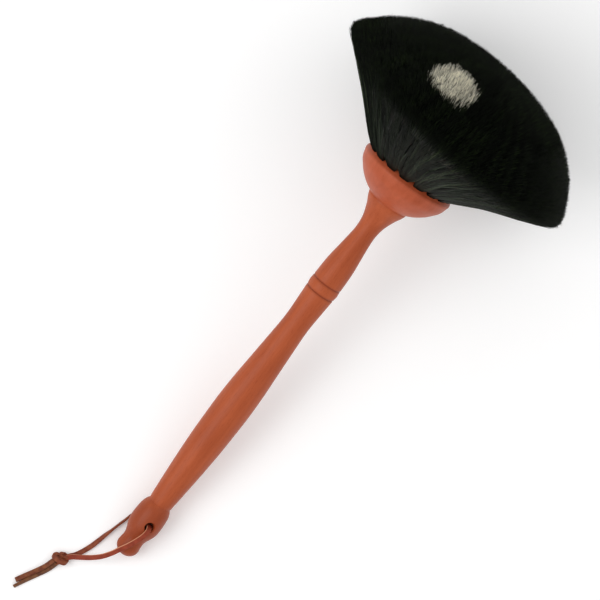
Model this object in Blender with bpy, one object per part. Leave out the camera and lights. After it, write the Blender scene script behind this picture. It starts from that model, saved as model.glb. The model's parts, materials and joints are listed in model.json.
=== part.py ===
"""Hair duster brush: turned handle, domed head, glued-in hair tufts and a hanging lace.

Units are metres, with +Z up. The brush lies on a table at z = 0 with its handle along +X, propped
on the end of the handle and on its own hair, so its axis climbs towards the head. Every wooden
part and every tuft is modelled along the brush's own axis, local +Z from the butt, with local -X
as the side that faces up, and is parented to one empty that lays the brush down. The lace is
routed in world coordinates and is parented to an empty on the axis of its hole, which is its hinge.
"""

import math

import bmesh
import bpy
from mathutils import Matrix, Vector

MM = 0.001

# How the brush lies
BUTT = Vector((-221.77, 4.94, 6.907)) * MM  # end of the handle, on its axis
TILT = math.radians(12.5)

# Wooden handle, in mm along the axis from the butt
HANDLE_STEPS = 40
NUB_LENGTH, NUB_RADIUS, NUB_STEPS = 7.5, 8.6, 6
POMMEL = [(7.5, 8.6), (15.5, 8.2), (24.0, 11.4), (31.0, 12.1), (39.7, 11.5), (44.2, 10.2), (46.5, 8.7)]
GRIP = [
    (48.4, 9.1), (66.0, 10.5), (84.0, 11.8), (102.0, 12.8), (119.0, 13.3), (137.0, 13.55),
    (155.0, 13.05), (172.0, 12.05), (190.0, 11.0), (212.0, 9.9), (230.0, 10.6), (240.6, 11.2),
]
BEAD = [(242.2, 11.3), (245.8, 11.7), (249.2, 11.4)]
NECK = [
    (250.8, 11.4), (265.0, 10.9), (278.0, 9.5), (287.0, 8.5), (296.0, 7.9), (304.7, 8.9),
    (313.5, 11.9), (319.0, 14.7), (322.2, 16.0),
]
GROOVE_DEPTH, GROOVE_HALF_WIDTH = 0.7, 0.8
OUTLINE_STEP = 5.0
SHOULDER = 323.0  # where the handle's top face meets the head
SHOULDER_RADIUS = 15.5
TENON_RADIUS, TENON_LENGTH, TENON_CHAMFER = 8.0, 21.0, 0.5

# Cross hole for the lace, through the widest part of the pommel
HOLE_AT = 30.2
HOLE_RADIUS, HOLE_FLARE = 3.5, 1.0
HOLE_HALF_LENGTH, HOLE_FLARE_DEPTH = 13.0, 2.4
HOLE_TURN = math.radians(24)  # about the handle, from straight up towards -Y
HOLE_STEPS = 24

# Domed head: a ball face on a turned bowl
GAP = 0.3
HEAD_STEPS = 56
DOME_CENTRE, DOME_RADIUS, DOME_STEPS = 323.0, 44.0, 16
RIM_RADIUS, RIM_STEPS = 4.0, 5
RIM_START, RIM_END = math.radians(55), math.radians(112)  # the way its surface faces, from the axis
BOWL = [(340.0, 34.6), (335.6, 31.5), (331.2, 27.6), (326.8, 22.2), (323.9, 16.6)]
HEAD_BASE_RADIUS = 15.6

# Tufts: blind holes square to the dome, each filled by one tuft that spreads to its own cell
TUFT_RADIUS, TUFT_DEPTH, HOLE_SIDES = 3.6, 10.0, 16
CUT_ABOVE = 6.0  # how far the cutters of the holes stand out of the dome
HAIR_EDGE = 53.5  # degrees from the axis, where the hair ends all round
# name, number of tufts, angle of their holes from the axis, inner and outer edge of their cells,
# and the turn of the first tuft from straight up towards +Y, all in degrees
RINGS = [
    ("tuft_centre", 1, 0.0, 0.0, 8.5, 0.0),
    ("tuft_inner", 6, 16.8, 8.5, 25.0, 0.0),
    ("tuft_middle", 12, 32.8, 25.0, 40.5, 20.5),
    ("tuft_outer", 18, 47.6, 40.5, HAIR_EDGE, 2.0),
]
WHITE_TUFT = "tuft_middle_01"
HAIR_RADIUS = 125.6  # of the ball on which the hair ends lie
HAIR_FULLNESS = 0.043  # how much further the hair reaches between the pole and the edge
FULLNESS_SPAN = math.radians(64.5)
UNEVENNESS = 0.068  # how much further its edge reaches on the +Y side, and less far on the -Y side
CORNER_START = math.radians(50)  # from here to the edge the ends are cut shorter
CORNER_CUT = 0.02
LEAN = math.radians(6.0)  # the hair leans towards -Y, all of it at the ends
SPREAD_LENGTH = 10.0  # a tuft fills its cell this far above the wood
TUFT_LEVELS = [0.0, 0.03, 0.07, 0.12, 0.24, 0.44, 0.67, 0.89, 1.0]  # shares of the hair's length
CENTRE_SIDES = 12
CAP_INSET = 0.6  # size of the ring inside a tuft's end
SHARP_ANGLE = math.radians(40)

# Lace: a limp strip, drawn as a round cord of the same section
LACE_RADIUS = 1.3
LACE_POINT_STEP = 3.6
FRONT_ROUTE = [  # mm from the butt in X and Y, and height above the table
    (29.5, -0.1, 13.6), (28.8, -1.6, 16.7), (27.9, -3.5, 20.6), (25.2, -5.1, 24.6), (20.2, -4.8, 25.8),
    (14.0, -2.8, 24.2), (7.5, 0.0, 22.1), (1.6, 3.2, 19.4), (-4.1, 6.1, 16.1), (-9.9, 10.0, 12.6),
    (-14.9, 14.9, 9.5), (-19.1, 20.3, 6.9), (-22.1, 24.6, 5.2), (-24.2, 27.5, 4.5),
]
BACK_ROUTE = [
    (29.5, 0.1, 13.2), (30.3, 1.7, 9.7), (31.1, 3.35, 6.2), (31.6, 5.0, 3.7), (31.3, 7.6, 2.1),
    (29.4, 9.9, 1.6), (25.9, 11.5, 1.5), (20.8, 12.7, 1.5), (14.6, 14.5, 1.5), (8.4, 16.1, 1.5),
    (2.2, 17.8, 1.5), (-4.1, 19.3, 1.5), (-9.7, 20.9, 1.5), (-14.6, 22.8, 1.5), (-18.5, 24.6, 1.5),
    (-21.5, 26.4, 1.5), (-23.7, 28.2, 1.5),
]
LEFT_TAIL_ROUTE = [
    (-35.4, 36.9, 3.9), (-38.6, 37.8, 3.4), (-42.9, 39.5, 3.0), (-48.8, 42.6, 2.8), (-55.4, 46.3, 2.3),
    (-61.7, 49.6, 1.5),
]
RIGHT_TAIL_ROUTE = [
    (-36.2, 33.8, 2.2), (-39.8, 34.9, 1.8), (-44.3, 36.8, 1.5), (-50.3, 40.0, 1.4), (-57.8, 43.9, 1.4),
    (-66.3, 48.0, 1.4),
]
KNOT_CENTRE = (-29.7, 32.8, 4.2)
KNOT_HALF_SIZE = (6.3, 5.2, 4.2)
KNOT_TURN = math.radians(-50)
KNOT_SIDES, KNOT_RINGS = 20, 12

COLOURS = {  # base colour, roughness
    "handle_wood": ((0.38, 0.105, 0.045), 0.45),
    "head_wood": ((0.47, 0.125, 0.055), 0.5),
    "black_hair": ((0.008, 0.010, 0.009), 0.6),
    "white_hair": ((0.55, 0.47, 0.36), 0.7),
    "lace_leather": ((0.35, 0.08, 0.035), 0.65),
}


def clear_scene():
    for item in list(bpy.data.objects):
        bpy.data.objects.remove(item)


def material(name):
    """The Principled material of that name, made once."""
    if name in bpy.data.materials:
        return bpy.data.materials[name]
    colour, roughness = COLOURS[name]
    made = bpy.data.materials.new(name)
    made.use_nodes = True
    shader = made.node_tree.nodes["Principled BSDF"]
    shader.inputs["Base Color"].default_value = (*colour, 1.0)
    shader.inputs["Roughness"].default_value = roughness
    shader.inputs["Metallic"].default_value = 0.0
    return made


def empty(name, matrix):
    made = bpy.data.objects.new(name, None)
    made.matrix_world = matrix
    bpy.context.collection.objects.link(made)
    return made


def place(name, data, parent, colour=None):
    """Links one object under its parent, in the parent's own coordinates."""
    made = bpy.data.objects.new(name, data)
    made.parent = parent
    if colour:
        data.materials.append(material(colour))
    bpy.context.collection.objects.link(made)
    return made


def mesh_from(name, points, faces):
    data = bpy.data.meshes.new(name)
    data.from_pydata([tuple(p) for p in points], [], faces)
    return data


def hide_cutter(cutter):
    cutter.hide_render = True
    cutter.display_type = "WIRE"


def cut(target, cutter):
    hide_cutter(cutter)
    boolean = target.modifiers.new("cut", "BOOLEAN")
    boolean.operation = "DIFFERENCE"
    boolean.solver = "EXACT"
    boolean.object = cutter


# Turned shapes


def smooth_through(stations, step):
    """Points on a smooth curve through the stations, about one step apart."""
    points = [Vector(s) for s in stations]
    padded = [2 * points[0] - points[1], *points, 2 * points[-1] - points[-2]]
    curve = []
    for before, start, end, after in zip(padded, padded[1:], padded[2:], padded[3:]):
        count = max(1, round((end - start).length / step))
        for i in range(count):
            t = i / count
            curve.append(0.5 * (
                2 * start + (end - before) * t
                + (2 * before - 5 * start + 4 * end - after) * t**2
                + (3 * start - before - 3 * end + after) * t**3
            ))
    return curve + [points[-1]]


def handle_outline():
    """(along the axis, radius) in mm, from the butt to the tenon's end."""
    nub = []
    for i in range(NUB_STEPS):
        angle = math.radians(90) * i / NUB_STEPS
        nub.append((NUB_LENGTH * (1 - math.cos(angle)), NUB_RADIUS * math.sin(angle)))
    outline = [*nub, *smooth_through(POMMEL, OUTLINE_STEP)]
    for section in (GRIP, BEAD, NECK):
        outline += smooth_through(section, OUTLINE_STEP)
        if section is not NECK:
            along, radius = section[-1]
            outline.append((along + GROOVE_HALF_WIDTH, radius - GROOVE_DEPTH))
    end = SHOULDER + TENON_LENGTH
    return [
        *outline, (SHOULDER, SHOULDER_RADIUS), (SHOULDER, TENON_RADIUS),
        (end - TENON_CHAMFER, TENON_RADIUS), (end, TENON_RADIUS - TENON_CHAMFER), (end, 0.0),
    ]


def arc(centre, radius, start, end, steps):
    """Points (along the axis, radius) of an arc; its angles turn from the axis outwards."""
    angles = [start + (end - start) * i / steps for i in range(steps + 1)]
    return [(centre[0] + radius * math.cos(a), centre[1] + radius * math.sin(a)) for a in angles]


def head_outline():
    """(along the axis, radius) in mm, from the dome's pole round to the socket's floor."""
    dome = arc((DOME_CENTRE, 0.0), DOME_RADIUS, 0.0, RIM_START, DOME_STEPS)
    inside = DOME_RADIUS - RIM_RADIUS
    middle = (DOME_CENTRE + inside * math.cos(RIM_START), inside * math.sin(RIM_START))
    rim = arc(middle, RIM_RADIUS, RIM_START, RIM_END, RIM_STEPS)
    bowl = smooth_through([rim[-1], *BOWL], OUTLINE_STEP)
    base, socket_radius = SHOULDER + GAP, TENON_RADIUS + GAP
    floor = SHOULDER + TENON_LENGTH + GAP
    return [
        *dome, *rim[1:], *bowl[1:], (base, HEAD_BASE_RADIUS),
        (base, socket_radius), (floor, socket_radius), (floor, 0.0),
    ]


def turned(name, outline, steps, parent, colour=None):
    """A closed body from an outline that runs down its outer side, from top to bottom."""
    points = [(radius * MM, 0.0, along * MM) for along, radius in outline]
    data = bpy.data.meshes.new(name)
    data.from_pydata(points, [(i, i + 1) for i in range(len(points) - 1)], [])
    made = place(name, data, parent, colour)
    screw = made.modifiers.new("turn", "SCREW")
    screw.steps = screw.render_steps = steps
    screw.use_merge_vertices = True
    screw.merge_threshold = 0.00001
    screw.use_smooth_shade = True
    return made


def cross_hole_direction():
    """Along the cross hole towards its upper mouth, in the brush's own frame."""
    return Vector((-math.cos(HOLE_TURN), -math.sin(HOLE_TURN), 0.0))


def make_handle(brush):
    handle = turned("handle", handle_outline()[::-1], HANDLE_STEPS, brush, "handle_wood")
    flared = HOLE_RADIUS + HOLE_FLARE
    straight = HOLE_HALF_LENGTH - HOLE_FLARE_DEPTH
    half = [(HOLE_HALF_LENGTH, 0.0), (HOLE_HALF_LENGTH, flared), (straight, HOLE_RADIUS)]
    outline = half + [(-along, radius) for along, radius in reversed(half)]
    cutter = turned("cross_hole_cutter", outline, HOLE_STEPS, brush)
    cutter.location = (0.0, 0.0, HOLE_AT * MM)
    cutter.rotation_mode = "QUATERNION"
    cutter.rotation_quaternion = cross_hole_direction().to_track_quat("Z", "Y")
    cut(handle, cutter)


def direction(polar, azimuth):
    """A unit direction in the brush's frame; azimuth turns from straight up towards +Y."""
    around = math.sin(polar)
    return Vector((-around * math.cos(azimuth), around * math.sin(azimuth), math.cos(polar)))


def across(polar, azimuth):
    """The unit directions of growing polar angle and of growing azimuth."""
    outward = direction(polar + math.pi / 2, azimuth)
    return outward, Vector((math.sin(azimuth), math.cos(azimuth), 0.0))


def tufts():
    """(name, polar, inner edge, outer edge, azimuth, half the cell's width) of every tuft, in radians."""
    for ring, count, polar, inner, outer, turn in RINGS:
        for i in range(count):
            name = ring if count == 1 else f"{ring}_{i + 1:02d}"
            angles = (polar, inner, outer, turn + 360 * i / count, 180 / count)
            yield name, *[math.radians(a) for a in angles]


def make_head(brush):
    head = turned("brush_head", head_outline(), HEAD_STEPS, brush, "head_wood")
    holes = bmesh.new()
    low, high = DOME_RADIUS - TUFT_DEPTH - GAP, DOME_RADIUS + CUT_ABOVE
    for _, polar, _, _, azimuth, _ in tufts():
        along = direction(polar, azimuth)
        turn = along.to_track_quat("Z", "Y").to_matrix().to_4x4()
        middle = Vector((0, 0, DOME_CENTRE)) + along * (low + high) / 2
        bmesh.ops.create_cone(
            holes, cap_ends=True, segments=HOLE_SIDES, depth=(high - low) * MM,
            radius1=(TUFT_RADIUS + GAP) * MM, radius2=(TUFT_RADIUS + GAP) * MM,
            matrix=Matrix.Translation(middle * MM) @ turn,
        )
    data = bpy.data.meshes.new("tuft_hole_cutter")
    holes.to_mesh(data)
    holes.free()
    cut(head, place("tuft_hole_cutter", data, brush))


# Hair


def eased(share):
    share = min(1.0, max(0.0, share))
    return share * share * (3 - 2 * share)


def hair_reach(polar, azimuth):
    """Distance of the hair's ends from the dome's centre."""
    swell = math.sin(math.pi * min(1.0, polar / FULLNESS_SPAN)) ** 2
    to_left = math.sin(polar) ** 4 * math.sin(azimuth)
    corner = max(0.0, polar - CORNER_START) / (math.radians(HAIR_EDGE) - CORNER_START)
    return HAIR_RADIUS * (1 + HAIR_FULLNESS * swell + UNEVENNESS * to_left - CORNER_CUT * corner**2)


def laid(point):
    """A point of the hair, in mm in the brush's frame, lifted onto the table if it is below it."""
    up = Vector((-math.cos(TILT), 0.0, math.sin(TILT)))
    height = BUTT.z / MM + point.dot(up)
    return point - up * min(0.0, height)


def leaned(offset, distance, polar, azimuth):
    """An offset from the dome's centre, turned towards -Y by the lean at that distance, which comes
    sooner in the hair of the +Y side."""
    share = min(1.0, max(0.0, (distance - DOME_RADIUS) / (HAIR_RADIUS - DOME_RADIUS)))
    late, soon = eased(share), 1 - (1 - share) ** 3
    side = max(0.0, math.sin(polar) * math.sin(azimuth) / math.sin(math.radians(HAIR_EDGE)))
    return Matrix.Rotation(LEAN * (late + (soon - late) * side), 3, "X") @ offset


def spread_at(length):
    """How far a tuft has opened from its round root to its cell, at a length above the wood."""
    return 1 - (1 - min(1.0, max(0.0, length / SPREAD_LENGTH))) ** 2


def cell_edge(inner, outer, half_width):
    """The edge of a tuft's cell as (polar, azimuth from its middle), all the way round."""
    if inner == 0:
        return [(outer, 2 * math.pi * i / CENTRE_SIDES) for i in range(CENTRE_SIDES)]
    ends = [(outer, share) for share in (-1, -0.5, 0, 0.5, 1)]
    side = (inner + outer) / 2
    back = [(side, 1), (inner, 1), (inner, 0.5), (inner, 0), (inner, -0.5), (inner, -1), (side, -1)]
    return [(polar, share * half_width) for polar, share in ends + back]


def inset(polar, turn, inner, outer, half_width, distance):
    """A point of a cell's edge, moved in from it by half the gap between two tufts."""
    margin = GAP / 2 / distance
    if inner == 0:
        return polar - margin, turn
    polar = min(max(polar, inner + margin), outer - margin)
    widest = half_width - margin / math.sin(polar)
    return polar, min(max(turn, -widest), widest)


def split_quad(low, high, next_high, next_low, rising):
    """Two triangles, cut the same way on the two facing walls of neighbouring tufts."""
    if rising:
        return [[low, high, next_high], [low, next_high, next_low]]
    return [[low, high, next_low], [high, next_high, next_low]]


def make_tuft(brush, name, polar, inner, outer, azimuth, half_width):
    """One closed bundle: a round root in its hole, spreading to fill its cell of the ball of hair."""
    centre, root = Vector((0, 0, DOME_CENTRE)), direction(polar, azimuth)
    outward, sideways = across(polar, azimuth)
    edge = cell_edge(inner, outer, half_width)

    def at(polar_here, turn, share):
        """The place of one hair of the tuft, at a share of its length above the wood."""
        azimuth_here = azimuth + turn
        distance = DOME_RADIUS + share * (hair_reach(polar_here, azimuth_here) - DOME_RADIUS)
        moved = inset(polar_here, turn, inner, outer, half_width, distance)
        full = direction(moved[0], azimuth + moved[1]) * distance
        bundle = root * distance + root_edge(polar_here, turn)
        placed = bundle.lerp(full, spread_at(distance - DOME_RADIUS))
        return laid(centre + leaned(placed, distance, polar_here, azimuth_here))

    def root_edge(polar_here, turn):
        """The same hair's place on the edge of the round root, from the root's own axis."""
        away = direction(polar_here, azimuth + turn)
        flat = Vector((away.dot(outward), away.dot(sideways))).normalized() * TUFT_RADIUS
        return outward * flat.x + sideways * flat.y

    points = [centre + root * (DOME_RADIUS - TUFT_DEPTH) + root_edge(p, t) for p, t in edge]
    for share in TUFT_LEVELS:
        points += [at(p, t, share) for p, t in edge]
    middle = (inner + outer) / 2 if inner else 0.0
    around = CAP_INSET if inner else 1.0
    points += [at(middle + (p - middle) * CAP_INSET, t * around, 1.0) for p, t in edge]
    points.append(at(middle, 0.0, 1.0))

    count, rows = len(edge), len(TUFT_LEVELS) + 2
    faces = [list(range(count))]
    for row in range(rows - 1):
        for i in range(count):
            j = (i + 1) % count
            low, high = row * count, (row + 1) * count
            faces += split_quad(low + i, high + i, high + j, low + j, edge[i][0] > edge[j][0])
    last = (rows - 1) * count
    faces += [[last + i, rows * count, last + (i + 1) % count] for i in range(count)]
    data = mesh_from(name, [p * MM for p in points], faces)
    data.shade_smooth()
    data.set_sharp_from_angle(angle=SHARP_ANGLE)
    place(name, data, brush, "white_hair" if name == WHITE_TUFT else "black_hair")


# Lace


def make_strand(name, route, to_pivot, pivot):
    """One closed round tube along a smooth curve through the route's points."""
    offset = Vector((BUTT.x, BUTT.y, 0.0))
    line = smooth_through(route, LACE_POINT_STEP)
    data = bpy.data.curves.new(name, "CURVE")
    data.dimensions = "3D"
    data.bevel_depth = LACE_RADIUS * MM
    data.bevel_resolution = 2
    data.use_fill_caps = True
    spline = data.splines.new("POLY")
    spline.points.add(len(line) - 1)
    for place_on, point in zip(spline.points, line):
        place_on.co = (*(to_pivot @ (point * MM + offset)), 1.0)
    place(name, data, pivot, "lace_leather")


def make_knot(to_pivot, pivot):
    lump = bmesh.new()
    bmesh.ops.create_uvsphere(lump, u_segments=KNOT_SIDES, v_segments=KNOT_RINGS, radius=1.0)
    size = Matrix.Diagonal((*(Vector(KNOT_HALF_SIZE) * MM), 1.0))
    centre = Vector(KNOT_CENTRE) * MM + Vector((BUTT.x, BUTT.y, 0.0))
    turn = Matrix.Rotation(KNOT_TURN, 4, "Z")
    bmesh.ops.transform(lump, matrix=to_pivot @ Matrix.Translation(centre) @ turn @ size, verts=lump.verts)
    data = bpy.data.meshes.new("lace_knot")
    lump.to_mesh(data)
    lump.free()
    data.shade_smooth()
    place("lace_knot", data, pivot, "lace_leather")


def main():
    clear_scene()
    lie = Matrix.Translation(BUTT) @ Matrix.Rotation(math.pi / 2 - TILT, 4, "Y")
    brush = empty("brush", lie)
    make_handle(brush)
    make_head(brush)
    for tuft in tufts():
        make_tuft(brush, *tuft)

    hole = lie @ Vector((0, 0, HOLE_AT * MM))
    hinge = lie.to_3x3() @ cross_hole_direction()
    pivot_frame = Matrix.Translation(hole) @ hinge.to_track_quat("Z", "Y").to_matrix().to_4x4()
    pivot = empty("lace_pivot", pivot_frame)
    to_pivot = pivot_frame.inverted()
    make_strand("lace_front_strand", FRONT_ROUTE, to_pivot, pivot)
    make_strand("lace_back_strand", BACK_ROUTE, to_pivot, pivot)
    make_strand("lace_left_tail", LEFT_TAIL_ROUTE, to_pivot, pivot)
    make_strand("lace_right_tail", RIGHT_TAIL_ROUTE, to_pivot, pivot)
    make_knot(to_pivot, pivot)
    bpy.context.view_layer.update()


main()
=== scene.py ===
"""The looks of the hand duster brush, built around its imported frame: camera and lace first, then
the turned wood, the hair, the floor and the light.

Lengths are in mm in the brush's own frame (local +Z along the handle from its butt, local -X
facing up), or in metres in the row frame where a comment says so.
"""

import json
import math

import bmesh
import bpy
import numpy as np
from mathutils import Matrix, Vector


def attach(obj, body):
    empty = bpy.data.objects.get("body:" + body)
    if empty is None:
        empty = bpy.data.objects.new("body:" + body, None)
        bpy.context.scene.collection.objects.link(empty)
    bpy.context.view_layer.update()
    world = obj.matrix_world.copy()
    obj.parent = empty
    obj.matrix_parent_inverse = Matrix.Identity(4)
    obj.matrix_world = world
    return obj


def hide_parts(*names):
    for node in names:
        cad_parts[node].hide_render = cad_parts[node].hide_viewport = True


MM = 0.001

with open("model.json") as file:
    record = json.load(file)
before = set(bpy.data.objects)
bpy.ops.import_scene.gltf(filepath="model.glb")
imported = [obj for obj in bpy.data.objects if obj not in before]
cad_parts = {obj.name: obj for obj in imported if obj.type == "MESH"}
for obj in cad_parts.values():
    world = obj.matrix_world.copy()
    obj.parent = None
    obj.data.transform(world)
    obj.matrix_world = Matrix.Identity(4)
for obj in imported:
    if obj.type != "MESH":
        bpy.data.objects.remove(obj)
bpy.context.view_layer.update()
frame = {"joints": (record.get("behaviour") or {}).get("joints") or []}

# Where the brush lies, worked out from the lace's hinge, which runs through the cross hole
HOLE_AT = 30.2  # from the butt to the hole's axis
HINGE = next(j for j in frame["joints"] if j["name"] == "lace_swing")
HOLE, PIN = Vector(HINGE["pos_m"]), Vector(HINGE["axis"])
TILT = math.atan2(-PIN.x, PIN.z)
ALONG = Vector((math.cos(TILT), 0.0, math.sin(TILT)))
BUTT = HOLE - ALONG * HOLE_AT * MM
LIE = Matrix.Translation(BUTT) @ Matrix.Rotation(math.pi / 2 - TILT, 4, "Y")

# Camera: straight above, as in a catalogue picture, with the brush running up to the right
VIEW_UP = Vector((0.7974, 0.6035, 0.0))
VIEW_WIDTH = 0.432  # metres across the picture, at the brush
VIEW_CENTRE = (0.00067, 0.0129)
CAMERA_HEIGHT = 5.0
SENSOR = 36.0

# Lace: a flat leather strip. Routes are the CAD's own, mm from the butt in X and Y and height
# above the table. Faces give the way the strip's broad side faces, at shares of its length.
STRIP_WIDTH, STRIP_THICKNESS = 3.7, 1.6
CAD_LACE_RADIUS = 1.3
REST_HEIGHT = 0.1  # how much lower than the CAD's round lace the strip rests
LACE_STEP = 0.8
CORNER_SHARE, CORNER_STEPS = 0.3, 3  # radius of the strip's corners, as a share of its thickness
CUT_EDGE_START = 0.95  # share of the strip's half width past which it is cut edge
FRONT_ROUTE = [
    (29.5, -0.1, 13.6), (28.8, -1.6, 16.7), (27.9, -3.5, 20.6), (25.2, -5.1, 24.6), (20.2, -4.8, 25.8),
    (14.0, -2.8, 24.2), (7.5, 0.0, 22.1), (1.6, 3.2, 19.4), (-4.1, 6.1, 16.1), (-9.9, 10.0, 12.6),
    (-14.9, 14.9, 9.5), (-19.1, 20.3, 6.9), (-22.1, 24.6, 5.2), (-24.2, 27.5, 4.5),
]
FRONT_FACES = [
    (0.0, (1, 0, 0.2)), (0.1, (1, 0, 0.3)), (0.2, (0.3, -0.4, 1)),
    (0.5, (0, -0.4, 1)), (0.8, (0, -0.1, 1)), (1.0, (0, 0, 1)),
]
BACK_ROUTE = [
    (29.5, 0.1, 13.2), (30.3, 1.7, 9.7), (31.1, 3.35, 6.2), (31.6, 5.0, 3.7), (31.3, 7.6, 2.1),
    (29.4, 9.9, 1.6), (25.9, 11.5, 1.5), (20.8, 12.7, 1.5), (14.6, 14.5, 1.5), (8.4, 16.1, 1.5),
    (2.2, 17.8, 1.5), (-4.1, 19.3, 1.5), (-9.7, 20.9, 1.5), (-14.6, 22.8, 1.5), (-18.5, 24.6, 1.5),
    (-21.5, 26.4, 1.5), (-23.7, 28.2, 1.5),
]
BACK_FACES = [
    (0.0, (1, 0, 0.2)), (0.17, (1, 0.1, 0.1)), (0.24, (0.8, 0.8, 0)), (0.34, (0.1, 1, 0.1)),
    (0.5, (0, 1, 0.15)), (0.64, (0, 0.8, 0.9)), (0.76, (0, 0.15, 1)), (1.0, (0, 0, 1)),
]
LEFT_TAIL_ROUTE = [
    (-35.4, 36.9, 3.9), (-38.6, 37.8, 3.4), (-42.9, 39.5, 3.0), (-48.8, 42.6, 2.8), (-55.4, 46.3, 2.3),
    (-61.7, 49.6, 1.5),
]
LEFT_TAIL_FACES = [(0.0, (0, 0.9, 1)), (0.6, (0.3, 0.7, 1)), (1.0, (0.2, 0.3, 1))]
RIGHT_TAIL_ROUTE = [
    (-36.2, 33.8, 2.2), (-39.8, 34.9, 1.8), (-44.3, 36.8, 1.5), (-50.3, 40.0, 1.4), (-57.8, 43.9, 1.4),
    (-66.3, 48.0, 1.4),
]
RIGHT_TAIL_FACES = [(0.0, (-0.2, -0.8, 0.8)), (0.6, (-0.3, -0.8, 0.7)), (1.0, (-0.5, -1, 0.4))]
KNOT_CENTRE = (-29.7, 32.8, 4.2)
# The overhand knot's route: left in the camera's view, up in it, and up from the table
KNOT_ROUTE = [
    (-5.4, 1.0, -1.4), (-3.2, 0.9, -0.5), (-0.6, 1.4, -0.4), (2.6, 2.9, -1.0), (4.9, 2.2, 0.2),
    (3.2, 0.2, 1.9), (0.4, -1.8, 2.3), (-2.3, -2.8, 1.5), (-3.8, -1.8, -0.9), (-3.4, 1.2, -2.0),
    (-1.6, 3.4, -0.7), (-0.2, 2.6, 0.6), (-0.9, 0.2, -0.4), (0.9, -1.9, -1.2), (3.4, -2.8, -1.2),
]
KNOT_STRIP = (3.6, 1.4)  # the strip's width and thickness, drawn tight
KNOT_LAYERS = (-0.52, 0.52)  # the places of its two layers, in thicknesses from their middle
KNOT_STEEPNESS = 1.6  # how much more the strip faces up or down in it than away from its middle
# how much darker and duller the knot is
KNOT_DARKENED = 0.55
# How far the strands and tails run on into the knot, past the CAD's ends
FRONT_IN_KNOT, BACK_IN_KNOT = (-28.2, 31.2, 4.6), (-27.6, 31.3, 2.2)
LEFT_TAIL_IN_KNOT, RIGHT_TAIL_IN_KNOT = (-33.3, 36.0, 4.2), (-34.0, 33.4, 3.0)

# Turned wood: the CAD's outlines drawn finer, with shallower grooves, a tighter rim and a closer
# seam. Stations are (along the axis, radius).
HANDLE_STEPS, HEAD_STEPS = 128, 160
OUTLINE_STEP = 1.2
NUB_LENGTH, NUB_RADIUS, NUB_STEPS = 7.5, 8.6, 14
POMMEL = [(7.5, 8.6), (15.5, 8.2), (24.0, 11.4), (31.0, 12.1), (39.7, 11.5), (44.2, 10.2), (46.5, 8.7)]
GRIP = [
    (48.4, 9.1), (66.0, 10.5), (84.0, 11.8), (102.0, 12.8), (119.0, 13.3), (137.0, 13.55),
    (155.0, 13.05), (172.0, 12.05), (190.0, 11.0), (212.0, 9.9), (230.0, 10.6), (240.6, 11.2),
]
BEAD = [(242.2, 11.3), (245.8, 11.7), (249.2, 11.4)]
NECK = [
    (250.8, 11.4), (265.0, 10.9), (278.0, 9.5), (287.0, 8.5), (296.0, 7.9), (304.7, 8.9),
    (313.5, 11.9), (319.0, 14.7), (322.2, 16.0),
]
GROOVE_DEPTH, GROOVE_HALF_WIDTH = 0.45, 0.8
SHOULDER, SHOULDER_RADIUS = 323.0, 15.9
TENON_RADIUS, TENON_LENGTH = 8.0, 21.0
HOLE_RADIUS, HOLE_HALF_LENGTH = 3.5, 13.0
MOUTH_WIDENING, MOUTH_DEPTH, MOUTH_STEPS = 1.8, 2.4, 8  # of the hole's rounded mouths
CUTTER_END_LENGTH, CUTTER_END_WIDENING, CUTTER_SIDES = 2.0, 2.6, 48  # past the mouths

GAP = 0.3  # round the tenon
SEAM = 0.04  # between the shoulder and the head
DOME_CENTRE, DOME_RADIUS, DOME_STEPS = 323.0, 44.0, 40
RIM_RADIUS, RIM_STEPS = 2.8, 12
RIM_START, RIM_END = math.radians(55), math.radians(112)  # the way its surface faces, from the axis
BOWL = [(340.0, 34.6), (335.6, 31.5), (331.2, 27.6), (326.8, 22.2), (323.5, 16.4)]
HEAD_BASE_RADIUS = 15.95

# How much darker the wood is: stain on the handled pommel up to where that fades, and painted shade in
# the grooves
POMMEL_STAIN, POMMEL_STAIN_END, POMMEL_STAIN_FADE = 0.42, 38.0, 14.0
GROOVE_SHADE, GROOVE_SHADE_WIDTH = 0.8, 0.7
SHARP_ANGLE = math.radians(35)

# Hair
TUFT_RADIUS = 3.7
SQUARENESS = 0.7  # of a tuft's root, where its hole's edge is filled: 0 for round
HAIR_EDGE = 53.5  # degrees from the axis
# Each ring's name, number of tufts, angle of their holes from the axis, inner and outer edge of
# their cells, and turn of the first tuft from straight up towards +Y, with angles in degrees
RINGS = [
    ("tuft_centre", 1, 0.0, 0.0, 8.5, 0.0),
    ("tuft_inner", 6, 16.8, 8.5, 25.0, 0.0),
    ("tuft_middle", 12, 32.8, 25.0, 40.5, 20.5),
    ("tuft_outer", 18, 47.6, 40.5, HAIR_EDGE, 2.0),
]
WHITE_TUFT = "tuft_middle_01"
HAIR_RADIUS = 125.4  # of the ball of hair, from the dome's centre
HAIR_FULLNESS = 0.048
FULLNESS_SPAN = math.radians(68)
UNEVENNESS = 0.066
CORNER_START, CORNER_CUT = math.radians(50), 0.012
LEAN = math.radians(6.0)
SPREAD_LENGTH = 13.0  # from the wood to where a tuft fills its cell
SOFT_FLOOR = 3.0 * MM  # thickness of the layer in which the hair lies on the table
HAIR_MAP = "OFBake"  # name of the hair's map: each strand's shade in U, the way along it in V
MAP_MARGIN = 0.02

# The dense inside of a tuft, as shares of its cell and of its hair's length
CORE_WIDTH, CORE_LENGTH = 0.985, 0.93
CORE_SIDES = 24
CORE_SHARES = [-0.02, 0.0, 0.02, 0.045, 0.075, 0.12, 0.2, 0.35, 0.5, 0.7, 0.86, CORE_LENGTH]
CORE_INSETS, CORE_RISE = (0.6, 0.2), 0.01  # the rings that close its end, and how far they rise
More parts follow.
